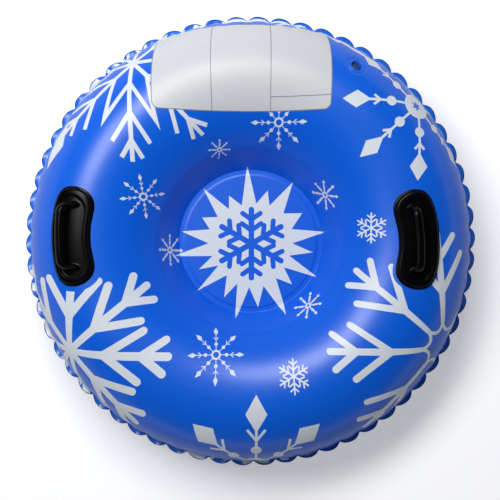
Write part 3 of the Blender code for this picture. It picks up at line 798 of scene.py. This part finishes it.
def finished_mesh(obj, name):
    """The object's mesh with its modifiers applied. The object itself is removed."""
    bpy.context.view_layer.update()
    graph = bpy.context.evaluated_depsgraph_get()
    mesh = bpy.data.meshes.new_from_object(obj.evaluated_get(graph))
    mesh.name = name
    bpy.data.objects.remove(obj, do_unlink=True)
    return mesh


def moulded_handle(name, place, lean):
    """A handle, made flat and upright and then bent over the crown at its place."""
    skirt = kidney_prism(HANDLE_WIDTH, HANDLE_LENGTH, 0.0, 0.0, HANDLE_SKIRT)
    round_face(skirt, True, SKIRT_ROUND, 2)
    pad = kidney_prism(HANDLE_WIDTH - 2 * PAD_INSET, HANDLE_LENGTH - 2 * PAD_INSET, 0.0,
                       HANDLE_SKIRT / 2, PAD_HEIGHT)
    round_face(pad, True, PAD_ROUND, 5)
    well = kidney_prism(WELL_WIDTH, WELL_LENGTH, WELL_SHIFT, WELL_FLOOR, 2 * PAD_HEIGHT)
    round_face(well, False, WELL_ROUND, 4)
    pad = mesh_object(pad, "pad")
    well = mesh_object(well, "well")
    cut = pad.modifiers.new("finger well", "BOOLEAN")
    cut.object = well
    cut.operation = "DIFFERENCE"
    pad_mesh = finished_mesh(pad, "pad")
    bpy.data.objects.remove(well, do_unlink=True)

    curve = bpy.data.curves.new("grip", "CURVE")
    curve.dimensions = "3D"
    curve.bevel_depth = GRIP_THICKNESS / 2
    curve.bevel_resolution = 7
    curve.use_fill_caps = True
    half = GRIP_SPAN / 2
    corner = [(half - GRIP_BEND * (1 - math.cos(turn)), GRIP_REACH - GRIP_BEND * (1 - math.sin(turn)))
              for turn in np.linspace(0, math.pi / 2, 13)]
    leg = [(half, 0.0), (half, PAD_HEIGHT * 0.8), (half, PAD_HEIGHT * 1.5)]
    path = leg + corner + [(half * share, GRIP_REACH) for share in (0.55, 0.35, 0.15)]
    path += [(-along, height) for along, height in reversed(path)]
    spline = curve.splines.new("POLY")
    spline.points.add(len(path) - 1)
    for point, (along, height) in zip(spline.points, path):
        point.co = (along, height, 0, 1)
        point.radius = 1.0 + FOOT_FLARE * max(0.0, 1 - height / FOOT_HEIGHT) ** 2
    grip_mesh = finished_mesh(add_object("grip", curve), "grip")
    oval = Matrix.Diagonal((1, 1, GRIP_WIDTH / GRIP_THICKNESS, 1))
    upright = Matrix(((0, 0, 1, 0), (1, 0, 0, 0), (0, 1, 0, 0), (0, 0, 0, 1)))
    tilt = Matrix.Rotation(math.radians(lean), 4, "Y")
    grip_mesh.transform(Matrix.Translation((GRIP_FOOT_SHIFT, 0, 0)) @ tilt @ upright @ oval)
    for vert in grip_mesh.vertices:
        vert.co.x += GRIP_BOW * ((vert.co.y / half) ** 2 - 1)

    whole = skirt
    for mesh in (pad_mesh, grip_mesh):
        whole.from_mesh(mesh)
    bmesh.ops.bisect_plane(whole, geom=whole.verts[:] + whole.edges[:] + whole.faces[:],
                           plane_co=(0, 0, -0.0001), plane_no=(0, 0, 1), clear_inner=False)
    moulding = mesh_object(whole, "moulding")
    melt = moulding.modifiers.new("melt", "REMESH")
    melt.mode = "VOXEL"
    melt.voxel_size = MELT
    mesh = finished_mesh(moulding, name)
    bm = bmesh.new()
    bm.from_mesh(mesh)
    for sweep in range(SMOOTHING_SWEEPS):
        bmesh.ops.smooth_vert(bm, verts=bm.verts, factor=0.5, use_axis_x=True, use_axis_y=True,
                              use_axis_z=True)
    for face in bm.faces:
        face.smooth = True
        face.material_index = int(face.calc_center_median().z > PAD_HEIGHT + 0.0012)
    bm.to_mesh(mesh)
    bm.free()

    places = np.array([tuple(vert.co) for vert in mesh.vertices])
    places[:, 2] = np.maximum(places[:, 2], 0)
    length, angle = round_crown(places[:, 0], places[:, 1], place)
    radius, height, run, rise = (np.interp(length, even_length, values) for values in
                                 (eased[:, 0], eased[:, 1], slope[:, 0], slope[:, 1]))
    off = places[:, 2] + HANDLE_GAP
    out = radius - rise * off
    bent = np.stack([out * np.cos(angle), out * np.sin(angle),
                     SEAM_HEIGHT + height + run * off], axis=1)
    mesh.vertices.foreach_set("co", bent.ravel())
    mesh.update()
    handle = add_object(name, mesh)
    mesh.materials.clear()
    for material in (handle_satin, handle_gloss):
        mesh.materials.append(material)
    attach(handle, "tube")
    return handle


# The pad is a dull satin black that hardly mirrors the studio, and the grip is glossier.
handle_satin = vinyl("black_moulded_vinyl", "#040406", 0.24, 0.00005, {"Specular IOR Level": 0.13})
handle_gloss = vinyl("black_grip_vinyl", "#030304", 0.16, 0.00002, {"Specular IOR Level": 0.30})
left = moulded_handle("moulded_handle_left", LEFT_PLACE, LEFT_LEAN)
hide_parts("handle_left")
right = moulded_handle("moulded_handle_right", RIGHT_PLACE, RIGHT_LEAN)
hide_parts("handle_right")


# Valve. A clear PVC push-in valve: its flange is welded under the upper sheet, its stem
# is folded into the flange's pocket, and its stopper is pushed in flush. The solids from
# the frame show as they are and get their finishes here.

clear = vinyl("clear_vinyl", "#6c86c4", 0.20, 0.00002, {"Transmission Weight": 0.45})

# The stopper is glossier, with moulded ribs a few millimetres apart that catch the light.
RIB_SCALE = 330.0               # cells to a metre
RIB_HEIGHT = 0.0016
ribbed, tree, shader = new_material("clear_ribbed_vinyl")
shader.inputs["Base Color"].default_value = srgb("#2c4f9e")
shader.inputs["Roughness"].default_value = 0.07
shader.inputs["IOR"].default_value = VINYL_IOR
shader.inputs["Transmission Weight"].default_value = 0.40
place = add_node(tree, "ShaderNodeTexCoord")
ribs = add_node(tree, "ShaderNodeTexVoronoi", {"feature": "DISTANCE_TO_EDGE"}, {"Scale": RIB_SCALE},
                {"Vector": place.outputs["Object"]})
bump = add_node(tree, "ShaderNodeBump", inputs={"Strength": 0.9, "Distance": RIB_HEIGHT},
                links={"Height": ribs.outputs["Distance"]})
tree.links.new(bump.outputs["Normal"], shader.inputs["Normal"])

for node, finish in (("valve_stem", clear), ("valve_flap", clear), ("valve_strap", clear),
                     ("valve_stopper", ribbed)):
    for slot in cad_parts[node].material_slots:
        slot.material = finish
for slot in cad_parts["valve_flange"].material_slots:
    slot.material = bpy.data.materials["weld_vinyl"]
